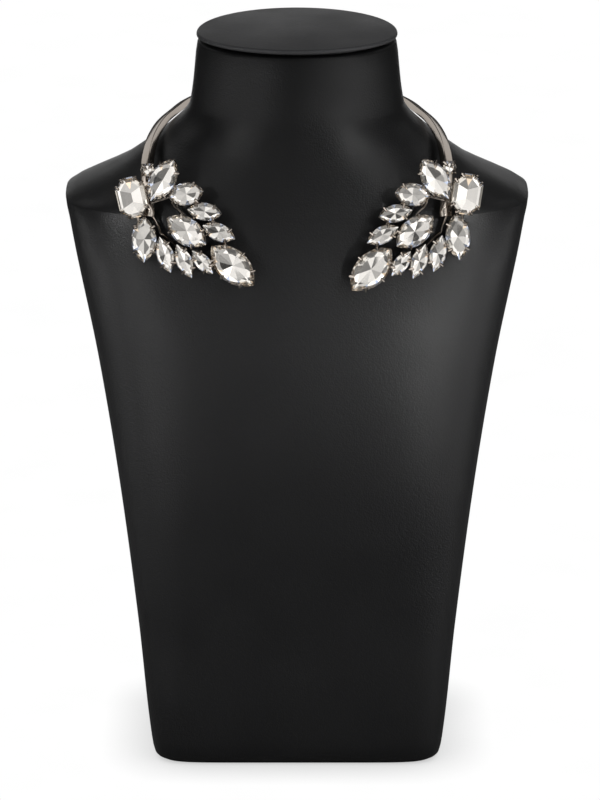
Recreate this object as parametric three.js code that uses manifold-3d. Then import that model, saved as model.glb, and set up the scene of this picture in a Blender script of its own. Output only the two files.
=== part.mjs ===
// An open collar bib necklace with two crystal wings, worn on a black neck bust.
// Millimetres, Z up, the front faces -Y, the bust stands on Z = 0.
import * as THREE from 'three';
import { mergeVertices } from 'three/addons/utils/BufferGeometryUtils.js';
import Module from 'manifold-3d';

const wasm = await Module();
wasm.setup();

// Air left between two pieces that touch each other.
const GAP = 0.3;

// The display bust. Its sections go from the base up, in shares of these sizes.
const BUST = { height: 316, halfWidth: 101, front: 57, back: 50, rimRound: 1.5, points: 40 };
// up is a share of the height; half, front and back are shares of halfWidth, front and back;
// square is 2 for an oval and more for a boxier outline; rings is how many steps lead to the next row.
const BUST_SECTIONS = [
  { up: 0.000, half: 0.600, front: 0.840, back: 0.900, square: 9.0, rings: 1 },
  { up: 0.008, half: 0.626, front: 0.900, back: 0.965, square: 9.0, rings: 1 },
  { up: 0.032, half: 0.640, front: 0.930, back: 1.000, square: 8.5, rings: 2 },
  { up: 0.190, half: 0.692, front: 0.970, back: 1.000, square: 6.5, rings: 2 },
  { up: 0.380, half: 0.765, front: 1.000, back: 0.980, square: 5.5, rings: 2 },
  { up: 0.570, half: 0.858, front: 0.980, back: 0.960, square: 4.8, rings: 2 },
  { up: 0.712, half: 0.948, front: 0.900, back: 0.900, square: 4.4, rings: 1 },
  { up: 0.760, half: 0.978, front: 0.850, back: 0.870, square: 3.8, rings: 2 },
  { up: 0.788, half: 0.995, front: 0.814, back: 0.858, square: 3.3, rings: 1 },
  { up: 0.799, half: 0.945, front: 0.790, back: 0.850, square: 3.0, rings: 1 },
  { up: 0.811, half: 0.867, front: 0.770, back: 0.840, square: 2.8, rings: 1 },
  { up: 0.829, half: 0.748, front: 0.742, back: 0.840, square: 2.6, rings: 1 },
  { up: 0.845, half: 0.678, front: 0.716, back: 0.840, square: 2.4, rings: 1 },
  { up: 0.866, half: 0.592, front: 0.677, back: 0.840, square: 2.2, rings: 3 },
  { up: 0.911, half: 0.460, front: 0.635, back: 0.846, square: 2.1, rings: 3 },
  { up: 1.000, half: 0.427, front: 0.605, back: 0.866, square: 2.0, rings: 0 },
];

// The lid on the neck: a thin oval plate over a smaller foot that leaves a shadow line.
const CAP = { overhang: 0.3, plate: 2.0, shadow: 1.2, footInset: 3.5, points: 48 };

// The rigid collar. Its ridge runs from the front end, past the neck, to the middle of the back.
// The drops are measured down from the top of the neck, and each room is the ridge's distance from
// the bust's skin: at the height of the front ends for frontRoom, at the back's height for the others.
const COLLAR = { endDrop: 65.6, backDrop: 33, sideRoom: 14.4, frontRoom: 3.6, backRoom: 8.1, steps: 64 };
// out, along and rise are shares of the half width, of the way from front to back, and from low to high.
const COLLAR_ROUTE = [
  { out: 0.995, along: 0.000, rise: 0.000 },
  { out: 0.992, along: 0.020, rise: 0.132 },
  { out: 1.000, along: 0.080, rise: 0.423 },
  { out: 0.997, along: 0.175, rise: 0.641 },
  { out: 0.984, along: 0.296, rise: 0.761 },
  { out: 0.954, along: 0.426, rise: 0.834 },
  { out: 0.904, along: 0.556, rise: 0.893 },
  { out: 0.832, along: 0.666, rise: 0.936 },
  { out: 0.749, along: 0.797, rise: 0.963 },
  { out: 0.644, along: 0.897, rise: 0.979 },
  { out: 0.487, along: 0.962, rise: 0.988 },
  { out: 0.251, along: 0.993, rise: 0.997 },
  { out: 0.000, along: 1.000, rise: 1.000 },
];
// The section of the collar: a ridge with an outer and an inner slope over a flat underside.
const COLLAR_SECTION = { outer: 3.2, inner: 2.2, slopeDrop: 1.4, height: 2.0, edgeTuck: 0.3 };

// A wing of stones about its hub. The hub lies inside, ahead of and below the collar's front end.
const WING = { size: 60, hubInside: 12.5, hubAhead: 3.4, hubBelow: 3.0, lean: 12, splay: 4 };
// The whole necklace is worn a little to one side: both wings shift and turn the same way.
const WORN = { shift: 1.5, turn: 2.05 };
// out and up place a stone from the hub, long and wide are its size: all shares of the wing's size.
// turn is the angle of its long side in degrees.
const STONES = [
  { name: 'collar_stone', cut: 'round', out: 0.235, up: 0.392, long: 0.096, wide: 0.096, turn: 45 },
  { name: 'octagon_stone', cut: 'octagon', out: 0.342, up: 0.201, long: 0.292, wide: 0.212, turn: 78.3 },
  { name: 'upper_navette', cut: 'navette', out: 0.120, up: 0.322, long: 0.343, wide: 0.186, turn: 121.6 },
  { name: 'inner_upper_navette', cut: 'navette', out: -0.044, up: 0.219, long: 0.254, wide: 0.165, turn: 171.7 },
  { name: 'inner_middle_navette', cut: 'navette', out: -0.175, up: 0.091, long: 0.247, wide: 0.128, turn: 8.2 },
  { name: 'inner_lower_navette', cut: 'navette', out: -0.273, up: -0.057, long: 0.250, wide: 0.125, turn: 24.1 },
  { name: 'centre_navette', cut: 'navette', out: -0.042, up: -0.045, long: 0.338, wide: 0.194, turn: 36 },
  { name: 'tip_navette', cut: 'long_navette', out: -0.366, up: -0.297, long: 0.412, wide: 0.230, turn: 43.5 },
  { name: 'tip_side_navette', cut: 'navette', out: -0.152, up: -0.268, long: 0.220, wide: 0.104, turn: 49.6 },
  { name: 'lower_inner_navette', cut: 'navette', out: -0.021, up: -0.259, long: 0.262, wide: 0.116, turn: 67.1 },
  { name: 'lower_outer_navette', cut: 'navette', out: 0.115, up: -0.211, long: 0.268, wide: 0.122, turn: 73.9 },
  { name: 'outer_navette', cut: 'navette', out: 0.263, up: -0.099, long: 0.330, wide: 0.178, turn: 91.5 },
];

// How far the small stone on the collar lies behind the plane of the others, in mm.
const COLLAR_STONE_SET_BACK = 5;

// How far the joined metal's faces may move, in mm, when flat ones are merged.
const METAL_TIDY = 0.004;

// How a stone is cut, in shares of its own width; the girdle is in mm.
const CUT = { table: 0.58, crown: 0.14, pavilion: 0.34, girdle: 0.5, clip: 0.24, sideSteps: 5 };

// A claw setting: a collet, which is a tapering wall open at both ends, and claws that bend over the stone.
// The insets are from the stone's outline, the drops from its girdle, all in mm.
const SETTING = {
  depth: 5.6, wall: 0.7, topInset: 0.25, topDrop: 1.5, baseInset: 1.3,
  claw: 0.42, clawFootDrop: 3.0, clawFootInset: 1.0, clawTipInset: 0.5,
};
// Where the claws stand along the two sides of a navette, as shares of its half length.
const CLAW_PLACES = { navette: [-0.55, 0.55], long_navette: [-0.66, 0, 0.66] };

// The place of pieces that are drawn about the hub itself.
const HUB = { out: 0, up: 0, turn: 0 };

// Wires of the frame behind the stones, each a list of stones that it passes under.
const FRAME = { wire: 0.6, drop: 4.6 };
const FRAME_ROUTES = [
  [
    'octagon_stone', 'outer_navette', 'lower_outer_navette', 'lower_inner_navette',
    'tip_side_navette', 'tip_navette',
  ],
  ['upper_navette', 'inner_upper_navette', 'inner_middle_navette', 'inner_lower_navette', 'tip_navette'],
];
// Wires that show between the stones, as points in wing shares with one drop below the girdles in mm:
// a tail from the collar's end round the tip of the lower outer navette, a straight rod from the inner
// upper navette to the centre one, and a bar from the collar under the upper navette.
const SHOWN_WIRES = [
  {
    radius: 0.4, drop: 3.6, steps: 10,
    route: [[0.215, 0.085], [0.191, 0.041], [0.176, 0.010], [0.157, -0.024], [0.148, -0.062],
      [0.123, -0.078], [0.096, -0.102], [0.065, -0.128], [0.030, -0.165]],
  },
  {
    radius: 0.45, drop: 3.6, steps: 4,
    route: [[0.020, 0.205], [0.060, 0.156], [-0.022, 0.069], [-0.042, 0.010]],
  },
  {
    radius: 0.4, drop: 4.2, steps: 3,
    route: [[0.220, 0.150], [0.165, 0.167], [0.126, 0.179], [0.050, 0.205]],
  },
];

const FINISHES = {
  leatherette: new THREE.MeshStandardMaterial({ color: 0x1d1d1e, roughness: 0.6, metalness: 0 }),
  lid: new THREE.MeshStandardMaterial({ color: 0x39393b, roughness: 0.55, metalness: 0 }),
  silver: new THREE.MeshStandardMaterial({ color: 0xb8b0a6, roughness: 0.18, metalness: 1 }),
  crystal: new THREE.MeshStandardMaterial({ color: 0xe6eaf0, roughness: 0.03, metalness: 0.2 }),
};

/** A smooth value between rows that never overshoots them. */
function smoothValue(rows, key, up) {
  const last = rows.length - 1;
  const slope = (i) => (rows[i + 1][key] - rows[i][key]) / (rows[i + 1].up - rows[i].up);
  const tangent = (i) => {
    if (i === 0) return slope(0);
    if (i === last) return slope(last - 1);
    const before = slope(i - 1);
    const after = slope(i);
    return before * after <= 0 ? 0 : (2 * before * after) / (before + after);
  };
  let i = 0;
  while (i < last - 1 && up > rows[i + 1].up) i += 1;
  const step = rows[i + 1].up - rows[i].up;
  const t = (up - rows[i].up) / step;
  return (1 + 2 * t) * (1 - t) ** 2 * rows[i][key] + t * (1 - t) ** 2 * step * tangent(i)
    + t * t * (3 - 2 * t) * rows[i + 1][key] + t * t * (t - 1) * step * tangent(i + 1);
}

/** The bust's half width, front and back depth and squareness at a height, made smaller by an inset. */
function bustSection(up, inset = 0) {
  return {
    half: smoothValue(BUST_SECTIONS, 'half', up) * BUST.halfWidth - inset,
    front: smoothValue(BUST_SECTIONS, 'front', up) * BUST.front - inset,
    back: smoothValue(BUST_SECTIONS, 'back', up) * BUST.back - inset,
    square: smoothValue(BUST_SECTIONS, 'square', up),
  };
}

/** The closed outline of a section, counter-clockwise seen from above. */
function sectionOutline(section, count) {
  const power = 2 / section.square;
  return Array.from({ length: count }, (_, i) => {
    const angle = (i / count) * 2 * Math.PI;
    const across = Math.cos(angle);
    const along = Math.sin(angle);
    const depth = along > 0 ? section.back : section.front;
    return new THREE.Vector2(
      Math.sign(across) * Math.abs(across) ** power * section.half,
      Math.sign(along) * Math.abs(along) ** power * depth,
    );
  });
}

/** A closed skin over rings that have the same number of points, with a flat fan at each end if capped. */
function loft(rings, capped = true) {
  const count = rings[0].length;
  const positions = rings.flat().flatMap((p) => [p.x, p.y, p.z]);
  const faces = [];
  for (let r = 0; r < rings.length - 1; r += 1) {
    for (let i = 0; i < count; i += 1) {
      const j = (i + 1) % count;
      const low = r * count;
      const high = low + count;
      faces.push(low + i, low + j, high + j, low + i, high + j, high + i);
    }
  }
  const top = (rings.length - 1) * count;
  for (let i = 1; capped && i < count - 1; i += 1) {
    faces.push(0, i + 1, i, top, top + i, top + i + 1);
  }
  const geometry = new THREE.BufferGeometry();
  geometry.setAttribute('position', new THREE.Float32BufferAttribute(positions, 3));
  geometry.setIndex(faces);
  return geometry;
}

/** A level ring of a flat outline at a height. */
function levelRing(outline, z) {
  return outline.map((p) => new THREE.Vector3(p.x, p.y, z));
}

/** The bust's body: lofted sections and a rounded rim at the top of the neck. */
function bustGeometry() {
  const rings = [];
  BUST_SECTIONS.slice(0, -1).forEach((row, i) => {
    const next = BUST_SECTIONS[i + 1];
    for (let k = 0; k < row.rings; k += 1) {
      const up = row.up + ((next.up - row.up) * k) / row.rings;
      rings.push(levelRing(sectionOutline(bustSection(up), BUST.points), up * BUST.height));
    }
  });
  for (const angle of [0, 45, 90]) {
    const turn = THREE.MathUtils.degToRad(angle);
    const inset = BUST.rimRound * (1 - Math.cos(turn));
    const z = BUST.height - BUST.rimRound * (1 - Math.sin(turn));
    rings.push(levelRing(sectionOutline(bustSection(1, inset), BUST.points), z));
  }
  return loft(rings);
}

/** The lid: a plate as wide as the neck over a smaller foot. */
function capGeometry() {
  const foot = BUST.height + GAP;
  const plate = foot + CAP.shadow;
  const narrow = sectionOutline(bustSection(1, CAP.footInset), CAP.points);
  const wide = sectionOutline(bustSection(1, -CAP.overhang), CAP.points);
  const top = levelRing(wide, plate + CAP.plate);
  return loft([levelRing(narrow, foot), levelRing(narrow, plate), levelRing(wide, plate), top]);
}

/** How far the collar's ridge reaches: half its width, its front and back depth, its low and high ends. */
function collarReach() {
  const low = BUST.height - COLLAR.endDrop;
  const high = BUST.height - COLLAR.backDrop;
  return {
    low,
    high,
    half: bustSection(high / BUST.height).half + COLLAR.sideRoom,
    front: bustSection(low / BUST.height).front + COLLAR.frontRoom,
    back: bustSection(high / BUST.height).back + COLLAR.backRoom,
  };
}

/** The line of the collar's ridge, from its right front end round the back to its left one. */
function collarCurve() {
  const reach = collarReach();
  const spot = (row, side) => new THREE.Vector3(
    side * row.out * reach.half,
    row.along * (reach.front + reach.back) - reach.front,
    reach.low + row.rise * (reach.high - reach.low),
  );
  const right = COLLAR_ROUTE.map((row) => spot(row, 1));
  const left = COLLAR_ROUTE.slice(0, -1).reverse().map((row) => spot(row, -1));
  return new THREE.CatmullRomCurve3([...right, ...left], false, 'centripetal');
}

/** The collar: its ridged section carried along the curve, level across. */
function collarGeometry() {
  const s = COLLAR_SECTION;
  const section = [
    [0, 0], [s.outer, -s.slopeDrop], [s.outer - s.edgeTuck, -s.height],
    [-s.inner + s.edgeTuck, -s.height], [-s.inner, -s.slopeDrop],
  ];
  const curve = collarCurve();
  const upright = new THREE.Vector3(0, 0, 1);
  const rings = [];
  for (let i = 0; i <= COLLAR.steps; i += 1) {
    const spot = curve.getPointAt(i / COLLAR.steps);
    const along = curve.getTangentAt(i / COLLAR.steps);
    const out = new THREE.Vector3().crossVectors(along, upright).normalize();
    const up = new THREE.Vector3().crossVectors(out, along);
    rings.push(section.map(([a, b]) => spot.clone().addScaledVector(out, a).addScaledVector(up, b)));
  }
  return loft(rings);
}

/** Two arcs that meet in two points; steps is how many sides each arc has. */
function navetteOutline(long, wide, steps) {
  const a = long / 2;
  const b = wide / 2;
  const radius = (a * a + b * b) / (2 * b);
  const reach = Math.asin(a / radius);
  const side = (sign) => Array.from({ length: steps }, (_, i) => {
    const angle = reach * (1 - (2 * i) / steps);
    return new THREE.Vector2(sign * radius * Math.sin(angle), sign * (radius * Math.cos(angle) - radius + b));
  });
  return [...side(1), ...side(-1)];
}

/** A rectangle with clipped corners. */
function octagonOutline(long, wide, clip) {
  const a = long / 2;
  const b = wide / 2;
  return [
    [a, -b + clip], [a, b - clip], [a - clip, b], [-a + clip, b],
    [-a, b - clip], [-a, -b + clip], [-a + clip, -b], [a - clip, -b],
  ].map(([x, y]) => new THREE.Vector2(x, y));
}

/** A regular ring of points. */
function roundOutline(diameter, count) {
  return Array.from({ length: count }, (_, i) => {
    const angle = (i / count) * 2 * Math.PI;
    return new THREE.Vector2((diameter / 2) * Math.cos(angle), (diameter / 2) * Math.sin(angle));
  });
}

/** The outline of a stone, grown on every side by an amount. */
function stoneOutline(stone, grow) {
  const long = stone.long * WING.size + 2 * grow;
  const wide = stone.wide * WING.size + 2 * grow;
  if (stone.cut === 'round') return roundOutline(long, 2 * CUT.sideSteps);
  if (stone.cut === 'octagon') return octagonOutline(long, wide, CUT.clip * wide);
  return navetteOutline(long, wide, CUT.sideSteps);
}

/** The rings of an outline scaled to a share and set at a height. */
function scaledRing(outline, share, z) {
  return outline.map((p) => new THREE.Vector3(p.x * share, p.y * share, z));
}

/** A cut stone about its girdle: culet, girdle, crown and table, grown on every side by an amount. */
function stoneGeometry(stone, grow = 0) {
  const outline = stoneOutline(stone, grow);
  const wide = stone.wide * WING.size;
  const girdle = CUT.girdle / 2 + grow / 2;
  const culet = 0.06;
  return loft([
    scaledRing(outline, culet, -girdle - CUT.pavilion * wide - grow / 2),
    scaledRing(outline, 1, -girdle),
    scaledRing(outline, 1, girdle),
    scaledRing(outline, CUT.table, girdle + CUT.crown * wide + grow / 2),
  ]);
}

/** Moves a piece drawn about a stone's girdle to its place in the right or left wing. */
function placeInWing(geometry, side, place) {
  const lean = THREE.MathUtils.degToRad(WING.lean);
  const splay = THREE.MathUtils.degToRad(WING.splay);
  const out = new THREE.Vector3(Math.cos(splay), Math.sin(splay), 0);
  const facing = new THREE.Vector3(
    Math.sin(splay) * Math.cos(lean), -Math.cos(splay) * Math.cos(lean), Math.sin(lean),
  );
  const up = new THREE.Vector3().crossVectors(facing, out);
  const turned = new THREE.Matrix4().makeRotationZ(side * THREE.MathUtils.degToRad(WORN.turn));
  const setBack = place.name === 'collar_stone' ? COLLAR_STONE_SET_BACK : 0;
  const placed = new THREE.Matrix4()
    .makeTranslation(place.out * WING.size, place.up * WING.size, -setBack)
    .multiply(new THREE.Matrix4().makeRotationZ(THREE.MathUtils.degToRad(place.turn)));
  const reach = collarReach();
  const wing = new THREE.Matrix4().makeBasis(out, up, facing).setPosition(
    reach.half - WING.hubInside + side * WORN.shift,
    -reach.front - WING.hubAhead,
    reach.low - WING.hubBelow,
  );
  geometry.applyMatrix4(wing.multiply(turned).multiply(placed));
  return side < 0 ? mirrored(geometry) : geometry;
}

/** The same piece on the other side of the middle plane. */
function mirrored(geometry) {
  const plain = geometry.index ? geometry : mergeVertices(onlyPositions(geometry));
  plain.applyMatrix4(new THREE.Matrix4().makeScale(-1, 1, 1));
  const index = plain.index.array;
  for (let i = 0; i < index.length; i += 3) {
    [index[i], index[i + 1]] = [index[i + 1], index[i]];
  }
  return plain;
}

/** Drops everything but the positions, so that shared corners can be merged. */
function onlyPositions(geometry) {
  geometry.deleteAttribute('normal');
  geometry.deleteAttribute('uv');
  return geometry;
}

/** A wire with flat sides along a curve through points. */
function wireGeometry(points, radius, steps) {
  const curve = new THREE.CatmullRomCurve3(points, false, 'centripetal');
  const section = new THREE.Shape(roundOutline(2 * radius, 5));
  return new THREE.ExtrudeGeometry(section, { steps, bevelEnabled: false, extrudePath: curve });
}

/** Where the claws of a stone stand: a point on its edge and the way out of the stone. */
function clawSpots(stone) {
  const long = stone.long * WING.size;
  const wide = stone.wide * WING.size;
  if (stone.cut === 'round') {
    return [[1, 0], [0, 1], [-1, 0], [0, -1]].map(([x, y]) => {
      const away = new THREE.Vector2(x, y);
      return { edge: away.clone().multiplyScalar(long / 2), away };
    });
  }
  if (stone.cut === 'octagon') {
    const clip = CUT.clip * wide;
    return [[1, 1], [-1, 1], [-1, -1], [1, -1]].flatMap(([sx, sy]) => [0.2, 0.8].map((share) => ({
      edge: new THREE.Vector2(sx * (long / 2 - clip * share), sy * (wide / 2 - clip * (1 - share))),
      away: new THREE.Vector2(sx, sy).normalize(),
    })));
  }
  const a = long / 2;
  const b = wide / 2;
  const radius = (a * a + b * b) / (2 * b);
  return CLAW_PLACES[stone.cut].flatMap((share) => [1, -1].map((sign) => {
    const angle = Math.asin((share * a) / radius);
    const away = new THREE.Vector2(Math.sin(angle), sign * Math.cos(angle));
    return { edge: new THREE.Vector2(share * a, sign * (radius * Math.cos(angle) - radius + b)), away };
  }));
}

/** One claw: square wire from the collet's wall, up past the girdle and over the crown. */
function clawGeometry(stone, spot) {
  const clear = GAP + SETTING.claw * 1.2;
  const crownSlope = CUT.crown / (0.5 * (1 - CUT.table));
  const tipRise = CUT.girdle / 2 + SETTING.clawTipInset * crownSlope + clear * Math.hypot(1, crownSlope);
  const stations = [
    { out: -SETTING.clawFootInset, up: -SETTING.clawFootDrop, tilt: -0.2 },
    { out: clear, up: CUT.girdle / 2, tilt: 0.3 },
    { out: -SETTING.clawTipInset, up: tipRise, tilt: 0.9 },
  ];
  const side = new THREE.Vector3(-spot.away.y, spot.away.x, 0);
  return loft(stations.map(({ out, up, tilt }) => {
    const foot = spot.edge.clone().addScaledVector(spot.away, out);
    const center = new THREE.Vector3(foot.x, foot.y, up);
    const level = spot.away.clone().multiplyScalar(Math.cos(tilt));
    const face = new THREE.Vector3(level.x, level.y, Math.sin(tilt));
    return [[1, -1], [1, 1], [-1, 1], [-1, -1]].map(([a, b]) => center.clone()
      .addScaledVector(face, a * SETTING.claw).addScaledVector(side, b * SETTING.claw));
  }));
}

/** The collet of a stone: its wall goes up outside, over the top and down inside, closed on itself. */
function colletGeometry(stone) {
  const ring = (inset, z) => levelRing(stoneOutline(stone, -inset), z);
  const rings = [
    ring(SETTING.baseInset, -SETTING.depth),
    ring(SETTING.topInset, -SETTING.topDrop),
    ring(SETTING.topInset + SETTING.wall, -SETTING.topDrop),
    ring(SETTING.baseInset + SETTING.wall, -SETTING.depth),
  ];
  return loft([...rings, rings[0]], false);
}

/** The pieces of one setting, drawn about the girdle of its stone. */
function settingPieces(stone) {
  return [colletGeometry(stone), ...clawSpots(stone).map((spot) => clawGeometry(stone, spot))];
}

/** The wires behind and between the stones of a wing, drawn in the wing's plane. */
function framePieces() {
  const spot = (out, up, drop) => new THREE.Vector3(out * WING.size, up * WING.size, -drop);
  const under = (name) => {
    const stone = STONES.find((row) => row.name === name);
    return spot(stone.out, stone.up, FRAME.drop);
  };
  const hidden = FRAME_ROUTES.map((route) => wireGeometry(route.map(under), FRAME.wire, 2 * route.length));
  const shown = SHOWN_WIRES.map((wire) => wireGeometry(
    wire.route.map(([out, up]) => spot(out, up, wire.drop)), wire.radius, wire.steps,
  ));
  return [...hidden, ...shown];
}

/** A closed mesh as a solid for joins and cuts. */
function solid(geometry) {
  const merged = mergeVertices(onlyPositions(geometry), 1e-4);
  return new wasm.Manifold(new wasm.Mesh({
    numProp: 3,
    vertProperties: new Float32Array(merged.attributes.position.array),
    triVerts: new Uint32Array(merged.index.array),
  }));
}

/** A solid as a mesh again. */
function geometryOf(body) {
  const mesh = body.getMesh();
  const geometry = new THREE.BufferGeometry();
  geometry.setAttribute('position', new THREE.Float32BufferAttribute(mesh.vertProperties, 3));
  geometry.setIndex(Array.from(mesh.triVerts));
  return geometry;
}

/** The room that each stone of a wing needs, its own gap included. */
function stoneRooms(side) {
  return STONES.map((stone) => solid(placeInWing(stoneGeometry(stone, GAP), side, stone)));
}

/** Collar, settings and frame wires soldered into one piece. Each setting is cut by its neighbours' rooms,
 *  so a claw never runs into another stone; a tip cut off that way is a loose crumb and is dropped. */
function metalworkGeometry() {
  const allRooms = wasm.Manifold.union([...stoneRooms(1), ...stoneRooms(-1)]);
  const metal = [solid(collarGeometry()).subtract(allRooms)];
  for (const side of [1, -1]) {
    const rooms = stoneRooms(side);
    STONES.forEach((stone, i) => {
      const pieces = settingPieces(stone).map((piece) => solid(placeInWing(piece, side, stone)));
      const others = wasm.Manifold.union(rooms.filter((room, j) => j !== i));
      metal.push(wasm.Manifold.union(pieces).subtract(others));
    });
    const wires = framePieces().map((piece) => solid(placeInWing(piece, side, HUB)));
    metal.push(wasm.Manifold.union(wires).subtract(wasm.Manifold.union(rooms)));
  }
  const bodies = wasm.Manifold.union(metal).decompose();
  bodies.sort((a, b) => b.volume() - a.volume());
  return geometryOf(bodies[0].asOriginal().simplify(METAL_TIDY));
}

/** A named mesh with a finish. */
function named(name, geometry, finish) {
  const mesh = new THREE.Mesh(geometry, finish);
  mesh.name = name;
  return mesh;
}

/** Slides the pieces level until the middle of the whole lies over the origin. */
function centred(group) {
  const middle = new THREE.Box3().setFromObject(group).getCenter(new THREE.Vector3());
  group.position.set(-middle.x, -middle.y, 0);
  return group;
}

const necklaceOnBust = new THREE.Group();
necklaceOnBust.add(named('bust_form', bustGeometry(), FINISHES.leatherette));
necklaceOnBust.add(named('neck_cap', capGeometry(), FINISHES.lid));
necklaceOnBust.add(named('metalwork', metalworkGeometry(), FINISHES.silver));
for (const [label, side] of [['left', -1], ['right', 1]]) {
  for (const stone of STONES) {
    const gem = placeInWing(stoneGeometry(stone), side, stone);
    necklaceOnBust.add(named(`${label}_${stone.name}`, gem, FINISHES.crystal));
  }
}

export default centred(necklaceOnBust);
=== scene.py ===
"""An open collar bib necklace with two wings of foil-backed crystals, worn on a black neck bust.

The sizes are in millimetres, about the middle plane of the bust, as in the CAD model.
"""

from __future__ import annotations

import logging
import math
from dataclasses import dataclass, field
from enum import Enum

import bmesh
import bpy
from bmesh.types import BMEdge, BMesh, BMVert
from bpy.types import ID, Material, Node, NodeSocket, NodeTree, Object
from mathutils import Matrix, Vector, geometry

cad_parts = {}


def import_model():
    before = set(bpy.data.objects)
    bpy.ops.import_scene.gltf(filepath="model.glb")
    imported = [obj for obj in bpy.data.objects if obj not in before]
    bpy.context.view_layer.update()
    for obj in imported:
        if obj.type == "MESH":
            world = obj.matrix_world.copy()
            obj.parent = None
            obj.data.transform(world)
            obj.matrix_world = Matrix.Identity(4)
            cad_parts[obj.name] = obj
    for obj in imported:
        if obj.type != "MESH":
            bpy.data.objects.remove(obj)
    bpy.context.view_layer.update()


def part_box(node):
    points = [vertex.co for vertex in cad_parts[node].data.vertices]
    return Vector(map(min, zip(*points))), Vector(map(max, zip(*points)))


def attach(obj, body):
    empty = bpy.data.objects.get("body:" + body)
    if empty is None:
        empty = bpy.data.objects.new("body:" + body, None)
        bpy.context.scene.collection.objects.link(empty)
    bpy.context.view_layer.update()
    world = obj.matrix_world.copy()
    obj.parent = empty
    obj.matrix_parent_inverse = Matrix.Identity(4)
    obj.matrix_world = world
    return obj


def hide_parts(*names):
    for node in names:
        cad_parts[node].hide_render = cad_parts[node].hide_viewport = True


MM = 0.001
BODY = "root"
UP = Vector((0.0, 0.0, 1.0))
# How near in millimetres a point may lie to a facet's plane and still count as on it.
CUT_TOLERANCE = 1e-5
log = logging.getLogger("necklace")


def linear(hex_colour: str) -> tuple[float, float, float, float]:
    """Turns an sRGB colour into the linear colour that a shader takes.

    Args:
        hex_colour: the colour as six hex digits.

    Returns:
        Red, green, blue and an alpha of 1.
    """
    parts = [int(hex_colour[i : i + 2], 16) / 255 for i in (0, 2, 4)]
    curve = [c / 12.92 if c <= 0.04045 else ((c + 0.055) / 1.055) ** 2.4 for c in parts]
    return (*curve, 1.0)


def add_node(tree: NodeTree, kind: str, inputs: dict | None = None, **settings) -> Node:
    """Adds a node with its settings, and sets or links its inputs.

    Args:
        tree: the node tree that gets the node.
        kind: Blender's name for the node.
        inputs: for each input by name or number, a value or the socket that feeds it.
        settings: the node's own settings.

    Returns:
        The new node.
    """
    made = tree.nodes.new(kind)
    for name, value in settings.items():
        setattr(made, name, value)
    for name, value in (inputs or {}).items():
        if isinstance(value, NodeSocket):
            tree.links.new(value, made.inputs[name])
        else:
            made.inputs[name].default_value = value
    return made


def new_material(name: str) -> tuple[Material, NodeTree, NodeSocket]:
    """Starts an empty node material.

    Args:
        name: the material's name.

    Returns:
        The material, its node tree and the coordinates of the piece in metres.
    """
    material = bpy.data.materials.new(name)
    material.use_nodes = True
    material.node_tree.nodes.clear()
    place = add_node(material.node_tree, "ShaderNodeTexCoord")
    return material, material.node_tree, place.outputs["Object"]


def end_material(tree: NodeTree, shader: Node) -> None:
    """Links a shader to the material's output."""
    add_node(tree, "ShaderNodeOutputMaterial", {"Surface": shader.outputs[0]})


def seen_or_mirrored(tree: NodeTree, seen: Node, mirrored: Node) -> Node:
    """Gives the camera one shader to see, and the light that gloss and glass gather another."""
    ray = add_node(tree, "ShaderNodeLightPath").outputs["Is Camera Ray"]
    return add_node(tree, "ShaderNodeMixShader", {0: ray, 1: mirrored.outputs[0], 2: seen.outputs[0]})


def per_metre(size_mm: float) -> float:
    """The scale that makes one cell of a pattern this many millimetres wide."""
    return 1.0 / (size_mm * MM)


@dataclass(frozen=True)
class Leatherette:
    """Embossed PU leatherette over a rigid form: black or dark grey, half matt, with a fine pebble grain.

    The grain breaks the highlight into a soft sparkle, and the skin is glossier where it is pulled tight.
    """

    name: str
    dark: str
    light: str
    grain_mm: float = 0.75
    crease_mm: float = 1.875
    grain_depth_mm: float = 0.11
    relief: float = 0.62
    patch_mm: float = 26.0
    smoothest: float = 0.38
    roughest: float = 0.48
    gloss: float = 0.5
    ior: float = 1.46
    unevenness: float = 0.9

    def build(self) -> Material:
        """Makes the material."""
        material, tree, place = new_material(self.name)
        pebble = add_node(
            tree, "ShaderNodeTexVoronoi",
            {"Vector": place, "Scale": per_metre(self.grain_mm), "Randomness": self.unevenness},
        )
        crease = add_node(
            tree, "ShaderNodeTexNoise",
            {"Vector": place, "Scale": per_metre(self.crease_mm), "Detail": 3.0},
        )
        relief = add_node(
            tree, "ShaderNodeMath",
            {0: pebble.outputs["Distance"], 1: crease.outputs["Fac"]}, operation="ADD",
        )
        bump = add_node(
            tree, "ShaderNodeBump",
            {"Strength": self.relief, "Distance": self.grain_depth_mm * MM, "Height": relief.outputs[0]},
            invert=True,
        )
        patch = add_node(
            tree, "ShaderNodeTexNoise",
            {"Vector": place, "Scale": per_metre(self.patch_mm), "Detail": 2.0},
        )
        rough = add_node(
            tree, "ShaderNodeMapRange",
            {"Value": patch.outputs["Fac"], "From Min": 0.3, "From Max": 0.7,
             "To Min": self.smoothest, "To Max": self.roughest},
        )
        colour = add_node(
            tree, "ShaderNodeMix",
            {"Factor": relief.outputs[0], 6: linear(self.light), 7: linear(self.dark)}, data_type="RGBA",
        )
        shader = add_node(
            tree, "ShaderNodeBsdfPrincipled",
            {"Base Color": colour.outputs[2], "Roughness": rough.outputs[0], "Normal": bump.outputs[0],
             "IOR": self.ior, "Specular IOR Level": self.gloss},
        )
        end_material(tree, shader)
        return material


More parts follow.
